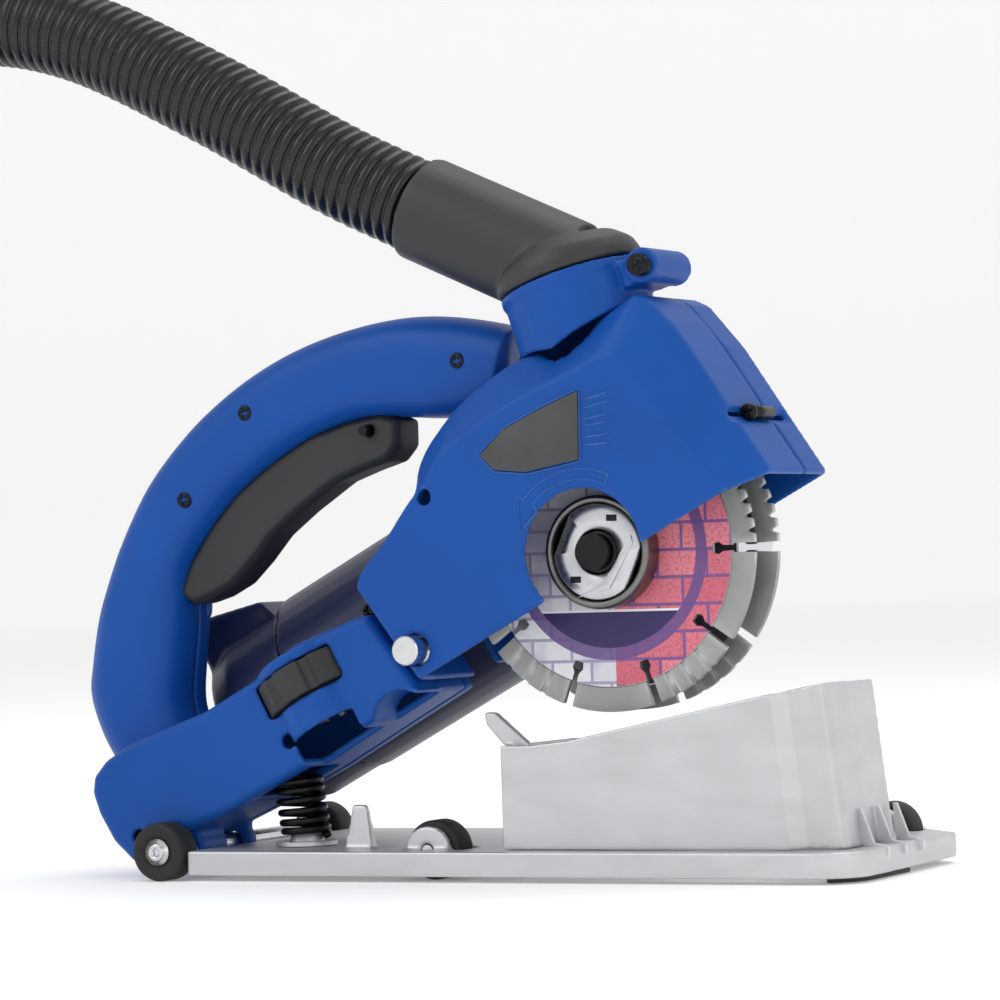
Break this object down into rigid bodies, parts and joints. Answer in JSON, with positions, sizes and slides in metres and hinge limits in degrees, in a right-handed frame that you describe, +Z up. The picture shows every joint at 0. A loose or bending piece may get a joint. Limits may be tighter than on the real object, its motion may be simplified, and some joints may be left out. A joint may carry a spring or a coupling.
{
  "type": "wall chaser",
  "caption": "Twin-blade wall chaser: a plunging motor body with guard, loop handle and dust elbow on a wheeled sole plate with a blade hood.",
  "frame": {"origin": "on the floor, under the middle of the machine's length and width (the hose and its cuff left out)", "axes": "+X forward in the cutting direction, +Y to the motor side, +Z up"},
  "size_m": [0.616, 0.5242, 0.3791],
  "materials": {
    "body_blue": "fine-textured moulded blue plastic, darker in recesses",
    "motor_navy": "textured dark navy plastic",
    "black_plastic": "fine-grained black plastic",
    "rubber": "soft black rubber",
    "cast_aluminium": "blasted die-cast aluminium, bright on machined edges",
    "steel": "turned and zinc-plated steel",
    "dark_steel": "black oxidised steel",
    "segment": "steel blade core with sintered diamond segments",
    "copper": "copper windings on a steel core",
    "carbon": "pressed carbon"
  },
  "bodies": {
    "base": {"base_plate": "cast_aluminium", "dust_hood": "cast_aluminium", "brush_strip": "rubber", "rear_axle": "steel", "axle_screw_near": "steel", "axle_screw_far": "steel", "mid_wheel_pin": "steel", "front_wheel_pin": "steel", "spring_seat": "steel", "plunge_spring": "dark_steel", "hose_cuff": "rubber"},
    "near_roller": {"rear_near_roller": "rubber"},
    "far_roller": {"rear_far_roller": "rubber"},
    "mid_wheel_body": {"mid_wheel": "rubber"},
    "front_wheel_body": {"front_wheel": "rubber"},
    "upper_body": {"housing_near": "body_blue", "housing_far": "body_blue", "handle_overgrip": "body_blue", "guard_near": "body_blue", "guard_far": "body_blue", "dust_port": "body_blue", "clamp_screw": "dark_steel", "dust_elbow": "black_plastic", "dust_hose": "rubber", "badge_plate": "black_plastic", "motor_housing": "motor_navy", "motor_end_cap": "motor_navy", "cable_gland": "rubber", "stator": "dark_steel", "carbon_brush_upper": "carbon", "carbon_brush_lower": "carbon", "armature_rear_bearing": "steel", "armature_front_bearing": "steel", "spindle_bearing": "steel", "gearbox_housing": "motor_navy", "power_switch": "black_plastic", "trigger_pin": "steel", "handle_screw_front": "dark_steel", "handle_screw_top": "dark_steel", "handle_screw_rear": "dark_steel"},
    "spindle_body": {"spindle": "steel", "spindle_gear": "steel", "blade_spacer": "steel", "near_blade": "segment", "far_blade": "segment", "quick_nut": "steel", "quick_nut_ring": "dark_steel", "quick_nut_clip": "steel"},
    "countershaft_body": {"countershaft_pinion": "steel", "bevel_ring_gear": "steel"},
    "armature_body": {"armature": "copper", "cooling_fan": "black_plastic", "bevel_pinion": "steel"},
    "trigger_body": {"trigger": "black_plastic"},
    "lock_body": {"plunge_lock_button": "steel"},
    "turret_body": {"depth_turret_knob": "black_plastic", "depth_stop_carrier": "steel"}
  },
  "joints": [
    {"name": "plunge", "type": "hinge", "parent": "base", "child": "upper_body", "pos_m": [-0.12187, -0.00215, 0.0118], "axis": [0, 1, 0], "range_deg": [0, 25.2], "stiffness_Nm_per_rad": 12, "springref_deg": -57.3, "deforming": ["plunge_spring"]},
    {"name": "near_roller_spin", "type": "hinge", "parent": "base", "child": "near_roller", "pos_m": [-0.12187, -0.06725, 0.0118], "axis": [0, 1, 0], "continuous": true},
    {"name": "far_roller_spin", "type": "hinge", "parent": "base", "child": "far_roller", "pos_m": [-0.12187, 0.06295, 0.0118], "axis": [0, 1, 0], "continuous": true},
    {"name": "mid_wheel_spin", "type": "hinge", "parent": "base", "child": "mid_wheel_body", "pos_m": [-0.00487, -0.05035, 0.0118], "axis": [0, 1, 0], "continuous": true},
    {"name": "front_wheel_spin", "type": "hinge", "parent": "base", "child": "front_wheel_body", "pos_m": [0.14413, 0.05485, 0.0118], "axis": [0, 1, 0], "continuous": true},
    {"name": "spindle_spin", "type": "hinge", "parent": "upper_body", "child": "spindle_body", "pos_m": [0.0692, -0.03015, 0.12705], "axis": [0, 1, 0], "continuous": true},
    {"name": "countershaft_spin", "type": "hinge", "parent": "upper_body", "child": "countershaft_body", "pos_m": [0.05466, 0.02785, 0.15499], "axis": [0, 1, 0], "continuous": true},
    {"name": "armature_spin", "type": "hinge", "parent": "upper_body", "child": "armature_body", "pos_m": [-0.05418, 0.03385, 0.09833], "axis": [0.887, 0, 0.4617], "continuous": true},
    {"name": "trigger_pull", "type": "hinge", "parent": "upper_body", "child": "trigger_body", "pos_m": [-0.04346, -0.01715, 0.17911], "axis": [0, 1, 0], "range_deg": [0, 4], "stiffness_Nm_per_rad": 1.5, "springref_deg": -8.59},
    {"name": "plunge_lock_press", "type": "slide", "parent": "upper_body", "child": "lock_body", "axis": [0, 1, 0], "range_m": [0, 0.005], "stiffness_N_per_m": 500, "springref_m": -0.005},
    {"name": "depth_turret_turn", "type": "hinge", "parent": "upper_body", "child": "turret_body", "pos_m": [-0.06168, -0.04415, 0.07808], "axis": [-0.4617, 0, 0.887], "continuous": true}
  ],
  "couplings": [
    {"joint": "countershaft_spin", "follows": "spindle_spin", "ratio": -1.1},
    {"joint": "armature_spin", "follows": "spindle_spin", "ratio": 2.64}
  ]
}
